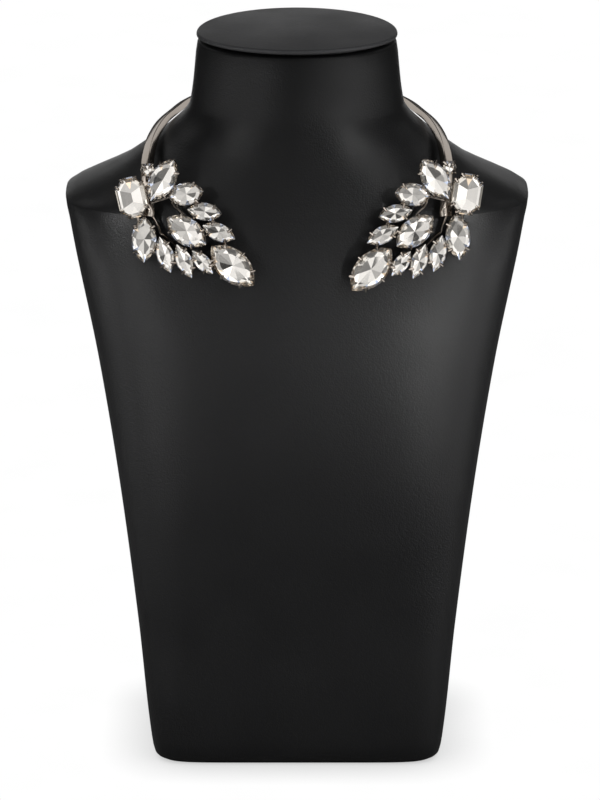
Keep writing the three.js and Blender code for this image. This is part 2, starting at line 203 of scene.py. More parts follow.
@dataclass(frozen=True)
class PlatedMetal:
    """Polished rhodium plate on brass: a warm, bright silver mirror that faint polishing marks soften."""

    name: str
    colour: str
    haze_mm: float = 1.6
    smoothest: float = 0.10
    roughest: float = 0.22

    def build(self) -> Material:
        """Makes the material."""
        material, tree, place = new_material(self.name)
        haze = add_node(
            tree, "ShaderNodeTexNoise",
            {"Vector": place, "Scale": per_metre(self.haze_mm), "Detail": 2.0},
        )
        rough = add_node(
            tree, "ShaderNodeMapRange",
            {"Value": haze.outputs["Fac"], "To Min": self.smoothest, "To Max": self.roughest},
        )
        shader = add_node(
            tree, "ShaderNodeBsdfPrincipled",
            {"Base Color": linear(self.colour), "Metallic": 1.0, "Roughness": rough.outputs[0]},
        )
        end_material(tree, shader)
        return material


@dataclass(frozen=True)
class CutGlass:
    """Machine-cut leaded glass: clear, flat polished facets, bent light and a hard bright gloss."""

    name: str
    tint: str
    ior: float = 1.50

    def build(self) -> Material:
        """Makes the material."""
        material, tree, _ = new_material(self.name)
        shader = add_node(
            tree, "ShaderNodeBsdfPrincipled",
            {"Base Color": linear(self.tint), "Transmission Weight": 1.0, "Roughness": 0.0,
             "IOR": self.ior},
        )
        end_material(tree, shader)
        return material


@dataclass(frozen=True)
class MirrorFoil:
    """Silvered foil on the back and edge of a stone: a mirror that sends the light out through the front.

    Each facet's own tint, kept in an attribute, paints faint blue or orange glints of split light on the
    smallest ones, and painted shade on the girdle.
    """

    name: str
    attribute: str
    roughness: float = 0.03

    def build(self) -> Material:
        """Makes the material."""
        material, tree, _ = new_material(self.name)
        tint = add_node(
            tree, "ShaderNodeAttribute", attribute_name=self.attribute, attribute_type="GEOMETRY",
        )
        shader = add_node(
            tree, "ShaderNodeBsdfPrincipled",
            {"Base Color": tint.outputs["Color"], "Metallic": 1.0, "Roughness": self.roughness},
        )
        end_material(tree, shader)
        return material


def add_object(name: str, data: ID) -> Object:
    """Adds an object that holds a mesh, camera or lamp to the scene."""
    added = bpy.data.objects.new(name, data)
    bpy.context.scene.collection.objects.link(added)
    return added


def face_from(piece: Object, middle: Vector, way: Vector, distance: float) -> None:
    """Puts a camera or lamp this way and distance from a point, facing the point."""
    piece.location = middle + way * distance
    piece.rotation_euler = (-way).to_track_quat("-Z", "Y").to_euler()


def in_frame() -> Matrix:
    """The move from millimetres about the bust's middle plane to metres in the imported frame."""
    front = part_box("bust_form")[0][1]
    return Matrix.Translation((0.0, front + NeckBust.front * MM, 0.0)) @ Matrix.Scale(MM, 4)


def finish_piece(
    bm: BMesh, name: str, materials: list[Material], nodes: list[str],
    sharp_degrees: float = 40.0,
) -> Object:
    """Turns a mesh in millimetres into a finished object in the frame.

    Args:
        bm: the mesh, which is freed.
        name: the object's name.
        materials: its materials in slot order.
        nodes: the CAD nodes that it stands for.
        sharp_degrees: edges that bend more than this stay sharp.

    Returns:
        The object, riding on the one body.
    """
    bmesh.ops.transform(bm, matrix=in_frame(), verts=bm.verts)
    bmesh.ops.recalc_face_normals(bm, faces=bm.faces)
    bm.normal_update()
    for face in bm.faces:
        face.smooth = True
    for edge in bm.edges:
        edge.smooth = len(edge.link_faces) == 2 and edge.calc_face_angle() < math.radians(sharp_degrees)
    mesh = bpy.data.meshes.new(name)
    bm.to_mesh(mesh)
    bm.free()
    for material in materials:
        mesh.materials.append(material)
    piece = add_object(name, mesh)
    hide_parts(*nodes)
    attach(piece, BODY)
    log.info("%s: %d faces", name, len(mesh.polygons))
    return piece


def skin(bm: BMesh, rings: list[list[Vector]], closed: bool = False) -> None:
    """Carries a ring of points through the others by extruding its edges.

    Args:
        bm: the mesh that gets the skin.
        rings: rings with the same number of points, in order.
        closed: whether the last ring joins the first one again; else both ends get a cap.
    """
    first = bmesh.ops.create_circle(bm, cap_ends=False, segments=len(rings[0]), radius=1.0)["verts"]
    for vert, spot in zip(first, rings[0]):
        vert.co = spot
    ring = list(first)
    edges = list({edge for vert in first for edge in vert.link_edges})
    start = list(edges)
    for spots in rings[1:]:
        made = bmesh.ops.extrude_edge_only(bm, edges=edges)["geom"]
        edges = [item for item in made if isinstance(item, BMEdge)]
        fresh = {vert for vert in made if isinstance(vert, BMVert)}
        edges = [edge for edge in edges if all(vert in fresh for vert in edge.verts)]
        follow = []
        for vert in ring:
            follow.append(next(e.other_vert(vert) for e in vert.link_edges if e.other_vert(vert) in fresh))
        for vert, spot in zip(follow, spots):
            vert.co = spot
        ring = follow
    if closed:
        bmesh.ops.bridge_loops(bm, edges=start + edges)
    else:
        bmesh.ops.holes_fill(bm, edges=start, sides=0)
        bmesh.ops.holes_fill(bm, edges=edges, sides=0)


def smooth_line(points: list[Vector], steps: int, closed: bool = False) -> list[Vector]:
    """A smooth line through points.

    Args:
        points: the points that it passes.
        steps: how many short lines lie between two of them.
        closed: whether it comes back to the first point.

    Returns:
        The points of the line; a closed one doesn't repeat its first point.
    """
    count = len(points)

    def heading(i: int) -> Vector:
        """The way of the line at a point."""
        before = points[(i - 1) % count] if closed or i > 0 else points[i]
        after = points[(i + 1) % count] if closed or i < count - 1 else points[i]
        return (after - before).normalized()

    line = []
    for i in range(count if closed else count - 1):
        here, there = points[i], points[(i + 1) % count]
        reach = (there - here).length / 3
        span = geometry.interpolate_bezier(
            here, here + heading(i) * reach, there - heading((i + 1) % count) * reach, there, steps + 1,
        )
        line += span[:-1]
    return line if closed else line + [points[-1]]


def wire_rings(
    line: list[Vector], radii: list[float], sides: int, closed: bool = False,
) -> list[list[Vector]]:
    """Round rings along a line, each square to it.

    Args:
        line: the line's points.
        radii: the radius at each point.
        sides: how many points each ring has.
        closed: whether the line comes back to its first point.

    Returns:
        One ring for each point of the line.
    """
    rings = []
    count = len(line)
    # A way that none of the wires runs along, so that the first ring has something to stand across.
    side = Vector((0.12, 0.3, 1.0))
    for i, spot in enumerate(line):
        before = line[(i - 1) % count] if closed else line[max(i - 1, 0)]
        after = line[(i + 1) % count] if closed else line[min(i + 1, count - 1)]
        along = (after - before).normalized()
        side = (side - along * side.dot(along)).normalized()
        other = along.cross(side)
        turns = [2 * math.pi * k / sides for k in range(sides)]
        rings.append([spot + (side * math.cos(t) + other * math.sin(t)) * radii[i] for t in turns])
    return rings


@dataclass(frozen=True)
class Section:
    """One level section of the bust, in shares of its sizes.

    up is a share of the height; half, front and back are shares of the half width, front and back depth;
    square is 2 for an oval and more for a boxier outline.
    """

    up: float
    half: float
    front: float
    back: float
    square: float


BUST_SECTIONS = [
    Section(0.000, 0.600, 0.840, 0.900, 9.0),
    Section(0.008, 0.626, 0.900, 0.965, 9.0),
    Section(0.032, 0.640, 0.930, 1.000, 8.5),
    Section(0.190, 0.692, 0.970, 1.000, 6.5),
    Section(0.380, 0.765, 1.000, 0.980, 5.5),
    Section(0.570, 0.858, 0.975, 0.960, 4.8),
    Section(0.712, 0.948, 0.893, 0.905, 4.4),
    Section(0.760, 0.978, 0.850, 0.872, 3.8),
    Section(0.788, 0.995, 0.815, 0.857, 3.3),
    Section(0.799, 0.945, 0.795, 0.852, 3.0),
    Section(0.811, 0.867, 0.774, 0.847, 2.8),
    Section(0.829, 0.748, 0.742, 0.842, 2.6),
    Section(0.845, 0.678, 0.715, 0.840, 2.4),
    Section(0.866, 0.592, 0.679, 0.840, 2.2),
    Section(0.911, 0.460, 0.629, 0.846, 2.1),
    Section(1.000, 0.427, 0.605, 0.866, 2.0),
]


def section_value(key: str, up: float) -> float:
    """A section's value at any height, by a smooth curve that never overshoots the rows.

    Args:
        key: which value of the section.
        up: the height as a share.

    Returns:
        The value.
    """
    rows = [(row.up, getattr(row, key)) for row in BUST_SECTIONS]
    last = len(rows) - 1

    def slope(i: int) -> float:
        """How fast the value grows between a row and the next."""
        return (rows[i + 1][1] - rows[i][1]) / (rows[i + 1][0] - rows[i][0])

    def tangent(i: int) -> float:
        """How fast the curve grows at a row: level where the value turns back."""
        if i in (0, last):
            return slope(min(i, last - 1))
        before, after = slope(i - 1), slope(i)
        return 0.0 if before * after <= 0 else 2 * before * after / (before + after)

    i = max(k for k in range(last) if k == 0 or up > rows[k][0])
    step = rows[i + 1][0] - rows[i][0]
    t = (up - rows[i][0]) / step
    start = (1 + 2 * t) * (1 - t) ** 2 * rows[i][1] + t * (1 - t) ** 2 * step * tangent(i)
    return start + t * t * (3 - 2 * t) * rows[i + 1][1] + t * t * (t - 1) * step * tangent(i + 1)


@dataclass
class NeckBust:
    """The display bust: a flat-footed torso with square shoulders, a short neck and a lid on it."""

    height: float = 316.0
    half_width: float = 101.0
    front: float = 57.0
    back: float = 50.0
    points: int = 144
    levels: int = 90
    rim_round: float = 1.5
    foot_round: float = 1.6
    lid_gap: float = 0.3
    lid_overhang: float = 0.3
    lid_plate: float = 2.0
    lid_shadow: float = 1.2
    lid_foot_inset: float = 3.5
    lid_round: float = 0.8

    def ring(self, up: float, inset: float, z: float) -> list[Vector]:
        """The outline of a section.

        Args:
            up: which section, as a share of the height.
            inset: how far inside the skin it lies.
            z: its height.

        Returns:
            The points, counter-clockwise seen from above.
        """
        half = section_value("half", up) * self.half_width - inset
        front = section_value("front", up) * self.front - inset
        back = section_value("back", up) * self.back - inset
        power = 2 / section_value("square", up)
        spots = []
        for i in range(self.points):
            angle = 2 * math.pi * i / self.points
            across, along = math.cos(angle), math.sin(angle)
            depth = back if along > 0 else front
            x = math.copysign(abs(across) ** power, across) * half
            y = math.copysign(abs(along) ** power, along) * depth
            spots.append(Vector((x, y, z)))
        return spots

    def body(self, leather: Material) -> Object:
        """Builds the torso and neck as one skin with rounded rims."""
        bm = bmesh.new()
        low = self.foot_round / self.height
        high = 1 - self.rim_round / self.height
        ups = sorted({low + (high - low) * i / self.levels for i in range(self.levels)})
        ups += [row.up for row in BUST_SECTIONS if low < row.up < high]
        rings = [self.ring(up, 0.0, up * self.height) for up in sorted(ups)]
        foot = self.ring(0.0, 0.0, 0.0)
        rim = []
        for degrees in (0, 18, 36, 54, 72, 90):
            turn = math.radians(degrees)
            z = self.height - self.rim_round * (1 - math.sin(turn))
            rim.append(self.ring(1.0, self.rim_round * (1 - math.cos(turn)), z))
        skin(bm, [foot, *rings, *rim])
        return finish_piece(bm, "bust_body", [leather], ["bust_form"])

    def lid(self, leather: Material) -> Object:
        """Builds the thin lid: a plate with a rolled edge over a smaller foot that leaves a shadow line."""
        bm = bmesh.new()
        foot = self.height + self.lid_gap
        plate = foot + self.lid_shadow
        top = plate + self.lid_plate
        rings = [self.ring(1.0, self.lid_foot_inset, z) for z in (foot, plate)]
        under = [(plate + self.lid_round, degrees) for degrees in (-90, -60, -30, 0)]
        over = [(top - self.lid_round, degrees) for degrees in (0, 22, 45, 68, 90)]
        for middle, degrees in under + over:
            turn = math.radians(degrees)
            inset = self.lid_round * (1 - math.cos(turn)) - self.lid_overhang
            rings.append(self.ring(1.0, inset, middle + self.lid_round * math.sin(turn)))
        skin(bm, rings)
        return finish_piece(bm, "neck_lid", [leather], ["neck_cap"])


class Cut(Enum):
    """The shapes that the stones are cut to."""

    ROUND = "round"
    OCTAGON = "octagon"
    NAVETTE = "navette"
    LONG_NAVETTE = "long navette"


@dataclass(frozen=True)
class Stone:
    """A stone of a wing: out and up place it from the hub, long and wide size it, in shares of the wing."""

    name: str
    cut: Cut
    out: float
    up: float
    long: float
    wide: float
    turn: float


STONES = [
    Stone("collar_stone", Cut.ROUND, 0.235, 0.392, 0.096, 0.096, 45.0),
    Stone("octagon_stone", Cut.OCTAGON, 0.342, 0.201, 0.292, 0.212, 78.3),
    Stone("upper_navette", Cut.NAVETTE, 0.120, 0.322, 0.343, 0.186, 121.6),
    Stone("inner_upper_navette", Cut.NAVETTE, -0.044, 0.219, 0.254, 0.165, 171.7),
    Stone("inner_middle_navette", Cut.NAVETTE, -0.175, 0.091, 0.247, 0.128, 8.2),
    Stone("inner_lower_navette", Cut.NAVETTE, -0.273, -0.057, 0.250, 0.125, 24.1),
    Stone("centre_navette", Cut.NAVETTE, -0.042, -0.045, 0.338, 0.194, 36.0),
    Stone("tip_navette", Cut.LONG_NAVETTE, -0.366, -0.297, 0.412, 0.230, 43.5),
    Stone("tip_side_navette", Cut.NAVETTE, -0.152, -0.268, 0.220, 0.104, 49.6),
    Stone("lower_inner_navette", Cut.NAVETTE, -0.021, -0.259, 0.262, 0.116, 67.1),
    Stone("lower_outer_navette", Cut.NAVETTE, 0.115, -0.211, 0.268, 0.122, 73.9),
    Stone("outer_navette", Cut.NAVETTE, 0.263, -0.099, 0.330, 0.178, 91.5),
]


@dataclass
class Wing:
    """Where a wing hangs: its hub beside the collar's front end, and how it leans and splays.

    The whole necklace is worn a little to one side, so both wings shift and turn the same way.
    """

    side: int
    size: float = 60.0
    hub: tuple[float, float, float] = (51.23, -52.88, 247.4)
    lean: float = 12.0
    splay: float = 4.0
    shift: float = 1.5
    worn_turn: float = 2.05
    collar_stone_set_back: float = 5.0

    def plane(self) -> Matrix:
        """The move from the wing's plane, with the hub as origin, to the bust; the left one is mirrored."""
        lean, splay = math.radians(self.lean), math.radians(self.splay)
        out = Vector((math.cos(splay), math.sin(splay), 0.0))
        facing = Vector(
            (math.sin(splay) * math.cos(lean), -math.cos(splay) * math.cos(lean), math.sin(lean))
        )
        up = facing.cross(out)
        basis = Matrix((out, up, facing)).transposed().to_4x4()
        hub = Vector(self.hub) + Vector((self.side * self.shift, 0.0, 0.0))
        turn = Matrix.Rotation(self.side * math.radians(self.worn_turn), 4, "Z")
        return Matrix.Diagonal((self.side, 1.0, 1.0, 1.0)) @ Matrix.Translation(hub) @ basis @ turn

    def seat(self, stone: Stone) -> Matrix:
        """The move from a stone's own girdle to its place in the wing.

        Args:
            stone: the stone.

        Returns:
            The move.
        """
        back = self.collar_stone_set_back if stone.cut is Cut.ROUND else 0.0
        slide = Matrix.Translation((stone.out * self.size, stone.up * self.size, -back))
        return self.plane() @ slide @ Matrix.Rotation(math.radians(stone.turn), 4, "Z")

    def spot(self, out: float, up: float, drop: float) -> Vector:
        """A point of the wing in shares of its size, this many millimetres behind the girdles."""
        return self.plane() @ Vector((out * self.size, up * self.size, -drop))

    @property
    def label(self) -> str:
        """The wing's side in words."""
        return "right" if self.side > 0 else "left"


@dataclass
class StoneShape:
    """The outline of one stone's girdle in millimetres, and where facets and claws lie round it.

    size is the wing's, and clip is how much of its width an octagon loses at each corner.
    """

    stone: Stone
    size: float
    clip: float = 0.33

    @property
    def half_long(self) -> float:
        """Half the stone's length."""
        return self.stone.long * self.size / 2

    @property
    def half_wide(self) -> float:
        """Half the stone's width."""
        return self.stone.wide * self.size / 2

    def arc(self, grow: float = 0.0) -> tuple[float, float]:
        """The radius of a navette's side and half its angle, this far outside the girdle."""
        a, b = self.half_long + grow, self.half_wide + grow
        radius = (a * a + b * b) / (2 * b)
        return radius, math.asin(a / radius)

    def outline(self, grow: float = 0.0, steps: int = 12) -> list[Vector]:
        """The girdle's outline.

        Args:
            grow: how far outside the girdle it lies.
            steps: how many short lines each long side has.

        Returns:
            The points, clockwise or counter-clockwise, with no point twice.
        """
        a, b = self.half_long + grow, self.half_wide + grow
        if self.stone.cut is Cut.ROUND:
            turns = [math.pi * i / steps for i in range(2 * steps)]
            return [Vector((a * math.cos(t), a * math.sin(t), 0.0)) for t in turns]
        if self.stone.cut is Cut.OCTAGON:
            clip = self.clip * 2 * b
            corners = [(a, b - clip), (a - clip, b), (clip - a, b), (-a, b - clip)]
            corners += [(-x, -y) for x, y in corners]
            return [Vector((x, y, 0.0)) for x, y in corners]
        radius, reach = self.arc(grow)
        spots = []
        for sign in (1, -1):
            for i in range(steps):
                turn = reach * (1 - 2 * i / steps)
                y = radius * math.cos(turn) - radius + b
                spots.append(Vector((sign * radius * math.sin(turn), sign * y, 0.0)))
        return spots

    def stations(self, between: bool) -> list[tuple[Vector, float]]:
        """Where the facets face: the main ones, or the ones between them.

        Args:
            between: whether the ones between the main facets are asked for.

        Returns:
            For each, the way that it faces in the girdle's plane and how far its edge is from the middle.
        """
        if self.stone.cut is Cut.ROUND:
            first = 22.5 if between else 0.0
            turns = [math.radians(first + 45 * i) for i in range(8)]
            return [(Vector((math.cos(t), math.sin(t), 0.0)), self.half_long) for t in turns]
        if self.stone.cut is Cut.OCTAGON:
            return self.octagon_stations(between)
        radius, reach = self.arc()
        shares = (-1.0, -0.5, 0.0, 0.5, 1.0) if between else (-0.78, -0.26, 0.26, 0.78)
        if self.stone.cut is Cut.LONG_NAVETTE:
            shares = (-1.0, -0.62, -0.2, 0.2, 0.62, 1.0) if between else (-0.82, -0.41, 0.0, 0.41, 0.82)
        found = []
        for sign in (1, -1):
            for share in shares:
                turn = reach * share
                away = Vector((math.sin(turn), sign * math.cos(turn), 0.0))
                found.append((away, radius - (radius - self.half_wide) * math.cos(turn)))
        return found

    def octagon_stations(self, between: bool) -> list[tuple[Vector, float]]:
        """The facets of the octagon: one to each side, or one to each of its eight corners."""
        corners = self.outline()
        found = []
        for i, corner in enumerate(corners):
            after = corners[(i + 1) % 8]
            edge = after - corner
            away = Vector((edge.y, -edge.x, 0.0)).normalized()
            if away.dot(corner) < 0:
                away = -away
            if between:
                away = corner.normalized()
                found.append((away, corner.length))
            else:
                found.append((away, away.dot(corner)))
        return found

    def claws(self) -> list[tuple[Vector, Vector]]:
        """Where the claws stand: a point on the girdle and the way out of the stone."""
        a, b = self.half_long, self.half_wide
        if self.stone.cut is Cut.ROUND:
            ways = [Vector((x, y, 0.0)) for x, y in ((1, 0), (0, 1), (-1, 0), (0, -1))]
            return [(way * a, way) for way in ways]
        if self.stone.cut is Cut.OCTAGON:
            clip = self.clip * 2 * b
            found = []
            for sx, sy in ((1, 1), (-1, 1), (-1, -1), (1, -1)):
                for share in (0.2, 0.8):
                    edge = Vector((sx * (a - clip * share), sy * (b - clip * (1 - share)), 0.0))
                    found.append((edge, Vector((sx, sy, 0.0)).normalized()))
            return found
        radius, _ = self.arc()
        places = (-0.66, 0.0, 0.66) if self.stone.cut is Cut.LONG_NAVETTE else (-0.55, 0.55)
        found = []
        for share in places:
            turn = math.asin(share * a / radius)
            for sign in (1, -1):
                away = Vector((math.sin(turn), sign * math.cos(turn), 0.0))
                edge = Vector((share * a, sign * (radius * math.cos(turn) - radius + b), 0.0))
                found.append((edge, away))
        return found


@dataclass(frozen=True)
class Tier:
    """A row of facets, facing the main stations or the ones between them.

    Each facet passes two lines, which lie at a share of the way out to the girdle and at a height.
    """

    between: bool
    share: float
    height: float
    inner_share: float
    inner_height: float


@dataclass
class StoneCutter:
    """Cuts the stones as a cutter does: a blank of the girdle's outline loses one flat facet after another.

    The girdle's own height is in millimetres. Other heights are shares of the stone's width above the
    girdle, or below it for the pavilion. Foil covers the pavilion and the girdle; the girdle's darker taupe
    tint is painted shade from its setting. Pavilion facets smaller than small_facet, a share of the square
    of the half
    width, take the tints in turn: painted blue and orange glints of split light. The others take the first
    tint, the foil's own warm white.
    """

    girdle: float = 0.5
    crown: tuple[Tier, ...] = (
        Tier(False, 1.0, 0.0, 0.62, 0.105),
        Tier(True, 1.0, 0.0, 0.80, 0.062),
        Tier(True, 0.80, 0.064, 0.60, 0.105),
    )
    step_crown: tuple[Tier, ...] = (
        Tier(False, 1.0, 0.0, 0.84, 0.065),
        Tier(False, 0.84, 0.065, 0.68, 0.105),
    )
    pavilion: tuple[Tier, ...] = (
        Tier(False, 1.0, 0.0, 0.0, 0.13),
        Tier(True, 1.0, 0.0, 0.34, 0.092),
    )
    step_pavilion: tuple[Tier, ...] = (
        Tier(False, 0.86, 0.040, 0.0, 0.15),
        Tier(False, 1.0, 0.0, 0.86, 0.040),
    )
    table_height: float = 0.105
    blank_depth: float = 0.17
    upright: float = 0.05
    merge: float = 0.01
    small_facet: float = 0.22
    attribute: str = "fire"
    # Painted glints: the blue and orange tints stand in for split light on small foil facets; the first is
    # the foil's own warm white.
    fire: tuple[str, ...] = ("f8f4ee", "d9e4fb", "f6f2ec", "fbe6cc", "f7f3ed")
    # Painted shade: the girdle's darker taupe stands in for the shade of its setting.
    girdle_painted_shade: str = "8f867c"

    def blank(self, shape: StoneShape) -> BMesh:
        """The uncut block of a stone, from below its culet to its table."""
        wide = shape.half_wide * 2
        low = -self.girdle / 2 - self.blank_depth * wide
        high = self.girdle / 2 + self.table_height * wide
        spots = shape.outline()
        bm = bmesh.new()
        verts = bmesh.ops.create_circle(bm, cap_ends=True, segments=len(spots), radius=1.0)["verts"]
        for vert, spot in zip(verts, spots):
            vert.co = spot + UP * low
        raised = bmesh.ops.extrude_face_region(bm, geom=bm.faces[:])["geom"]
        tops = [item for item in raised if isinstance(item, BMVert)]
        bmesh.ops.translate(bm, vec=(0.0, 0.0, high - low), verts=tops)
        bmesh.ops.recalc_face_normals(bm, faces=bm.faces)
        return bm

    @staticmethod
    def facet(bm: BMesh, point: Vector, facing: Vector) -> None:
        """Cuts off what lies beyond a plane and closes the cut with one flat face.

        Args:
            bm: the stone.
            point: a point of the plane.
            facing: the way the new facet faces.
        """
        everything = bm.verts[:] + bm.edges[:] + bm.faces[:]
        bmesh.ops.bisect_plane(
            bm, geom=everything, dist=CUT_TOLERANCE, plane_co=point, plane_no=facing, clear_outer=True,
        )
        open_edges = [edge for edge in bm.edges if edge.is_boundary]
        if open_edges:
            bmesh.ops.holes_fill(bm, edges=open_edges, sides=0)

    def tier(self, bm: BMesh, shape: StoneShape, row: Tier, sign: int) -> None:
        """Cuts a row of facets.

        Args:
            bm: the stone.
            shape: its outline.
            row: the row.
            sign: 1 above the girdle and -1 below it.
        """
        wide = shape.half_wide * 2
        edge_z = sign * (self.girdle / 2 + row.height * wide)
        for away, reach in shape.stations(row.between):
            depth = min(reach, shape.half_wide) if shape.stone.cut is Cut.OCTAGON else reach
            run = (row.share - row.inner_share) * depth
            rise = (row.inner_height - row.height) * wide
            facing = (away * rise / run + UP * sign).normalized()
            self.facet(bm, away * (reach - (1 - row.share) * depth) + UP * edge_z, facing)

    def cut(self, shape: StoneShape) -> BMesh:
        """Cuts a whole stone about its girdle and gives its foiled facets their tints."""
        bm = self.blank(shape)
        stepped = shape.stone.cut is Cut.OCTAGON
        for row in self.step_crown if stepped else self.crown:
            self.tier(bm, shape, row, 1)
        for row in self.step_pavilion if stepped else self.pavilion:
            self.tier(bm, shape, row, -1)
        bmesh.ops.remove_doubles(bm, verts=bm.verts, dist=self.merge)
        bmesh.ops.dissolve_degenerate(bm, dist=self.merge, edges=bm.edges)
        bmesh.ops.recalc_face_normals(bm, faces=bm.faces)
        bm.normal_update()
        layer = bm.loops.layers.float_color.new(self.attribute)
        faces = sorted(bm.faces, key=lambda face: (round(face.normal.x, 3), round(face.normal.y, 3)))
        for i, face in enumerate(faces):
            face.material_index = 1 if face.normal.z < self.upright else 0
            small = face.calc_area() < self.small_facet * shape.half_wide ** 2
            # Small foil facets take painted blue and orange glints of split light; large ones keep the
            # foil's warm white.
            tint = self.fire[i % len(self.fire) if small else 0]
            # The upright girdle takes painted shade from its setting instead.
            if abs(face.normal.z) < self.upright:
                tint = self.girdle_painted_shade
            for loop in face.loops:
                loop[layer] = linear(tint)
        return bm


@dataclass
class SettingMaker:
    """A claw setting: two rails round the stone below its girdle, joined by claws that bend over its crown.

    Sizes are in millimetres, and claw is a claw's radius. A claw stands clear of the girdle by the gap and
    claw_clear of that radius, and its middle rises over the crown by the gap and claw_lift of it.
    """

    gap: float = 0.12
    rail: float = 0.28
    top_drop: float = 0.70
    top_inset: float = 0.22
    base_drop: float = 3.9
    base_inset: float = 1.25
    claw: float = 0.63
    claw_clear: float = 0.45
    claw_lift: float = 0.68
    claw_reach: float = 1.15
    steps: int = 10
    rail_sides: int = 6
    claw_sides: int = 8

    def rails(self, bm: BMesh, shape: StoneShape, seat: Matrix) -> None:
        """Adds both rails of a setting.

        Args:
            bm: the metal mesh.
            shape: the stone's outline.
            seat: the stone's place.
        """
        for drop, inset in ((self.top_drop, self.top_inset), (self.base_drop, self.base_inset)):
            spots = shape.outline(-inset, self.steps)
            line = [seat @ (spot - UP * drop) for spot in spots]
            skin(bm, wire_rings(line, [self.rail] * len(line), self.rail_sides, closed=True), closed=True)

    def claws(self, bm: BMesh, shape: StoneShape, cutter: StoneCutter, seat: Matrix) -> None:
        """Adds the claws of a setting.

        Args:
            bm: the metal mesh.
            shape: the stone's outline.
            cutter: how high its crown is.
            seat: the stone's place.
        """
        slope = cutter.crown[0].inner_height / (1 - cutter.crown[0].inner_share) * 2
        half_girdle = cutter.girdle / 2
        clear = self.gap + self.claw * self.claw_clear
        rise = half_girdle + self.gap + self.claw * self.claw_lift
        top = rise + self.claw_reach * slope
        # How far out of the girdle a claw is, how high above it, and the share of its radius there:
        # up from the base rail, past the girdle, over the crown and to a round tip.
        stations = [
            (-self.base_inset, -self.base_drop, 0.8),
            (-0.2, -self.top_drop - 0.6, 1.0),
            (clear, -half_girdle, 1.0),
            (clear * 0.8, half_girdle + 0.15, 1.0),
            (-self.claw_reach * 0.3, rise + self.claw_reach * 0.3 * slope, 1.05),
            (-self.claw_reach, top, 1.05),
            (-self.claw_reach - 0.22, top, 0.8),
            (-self.claw_reach - 0.36, top, 0.4),
        ]
        radii = [self.claw * share for _, _, share in stations]
        for edge, away in shape.claws():
            line = [seat @ (edge + away * out + UP * up) for out, up, _ in stations]
            skin(bm, wire_rings(line, radii, self.claw_sides))


COLLAR_ROUTE = [
    (0.995, 0.000, 0.000), (0.992, 0.020, 0.132), (1.000, 0.080, 0.423), (0.997, 0.175, 0.641),
    (0.984, 0.296, 0.761), (0.954, 0.426, 0.834), (0.904, 0.556, 0.893), (0.832, 0.666, 0.936),
    (0.749, 0.797, 0.963), (0.644, 0.897, 0.979), (0.487, 0.962, 0.988), (0.251, 0.993, 0.997),
    (0.000, 1.000, 1.000),
]


@dataclass
class Collar:
    """The rigid collar: a ridged band from one wing round the back of the neck to the other.

    The route's rows give the ridge as shares: out of the half width, along from front to back, and from
    low to high. crest_sink and edge_sink are shares of ridge_round.
    """

    half_width: float = 63.73
    front: float = 49.48
    back: float = 50.26
    low: float = 250.4
    high: float = 283.0
    outer: float = 3.2
    inner: float = 2.2
    slope_drop: float = 1.4
    height: float = 2.0
    edge_tuck: float = 0.3
    ridge_round: float = 0.42
    crest_sink: float = 0.28
    edge_sink: float = 0.6
    steps: int = 8

    def build(self, bm: BMesh) -> None:
        """Adds the band to the metal mesh."""
        depth, lift = self.front + self.back, self.high - self.low
        right = [
            Vector((out * self.half_width, along * depth - self.front, self.low + rise * lift))
            for out, along, rise in COLLAR_ROUTE
        ]
        left = [Vector((-spot.x, spot.y, spot.z)) for spot in reversed(right[:-1])]
        line = smooth_line(right + left, self.steps)
        r = self.ridge_round
        tilt_out, tilt_in = self.slope_drop / self.outer, self.slope_drop / self.inner
        edge = -self.slope_drop - r * self.edge_sink
        section = [
            (0.0, -r * self.crest_sink), (r, -r * tilt_out),
            (self.outer - r, -self.slope_drop + r * tilt_out), (self.outer, edge),
            (self.outer - self.edge_tuck, -self.height), (-self.inner + self.edge_tuck, -self.height),
            (-self.inner, edge), (-self.inner + r, -self.slope_drop + r * tilt_in), (-r, -r * tilt_in),
        ]
        rings = []
        for i, spot in enumerate(line):
            along = (line[min(i + 1, len(line) - 1)] - line[max(i - 1, 0)]).normalized()
            out = along.cross(UP).normalized()
            up = out.cross(along)
            rings.append([spot + out * a + up * b for a, b in section])
        skin(bm, rings)


@dataclass(frozen=True)
class Wire:
    """A wire that shows between the stones, in shares of the wing, at one drop behind the girdles."""

    radius: float
    drop: float
    route: tuple[tuple[float, float], ...]


SHOWN_WIRES = [
    Wire(0.4, 3.6, (
        (0.215, 0.085), (0.191, 0.041), (0.176, 0.010), (0.157, -0.024), (0.148, -0.062), (0.123, -0.078),
        (0.096, -0.102), (0.065, -0.128), (0.030, -0.165),
    )),
    Wire(0.45, 3.6, ((0.020, 0.205), (0.060, 0.156), (-0.022, 0.069), (-0.042, 0.010))),
    Wire(0.4, 4.2, ((0.220, 0.150), (0.165, 0.167), (0.126, 0.179), (0.050, 0.205))),
]

HIDDEN_WIRES = [
    [
        "octagon_stone", "outer_navette", "lower_outer_navette", "lower_inner_navette", "tip_side_navette",
        "tip_navette",
    ],
    ["upper_navette", "inner_upper_navette", "inner_middle_navette", "inner_lower_navette", "tip_navette"],
]


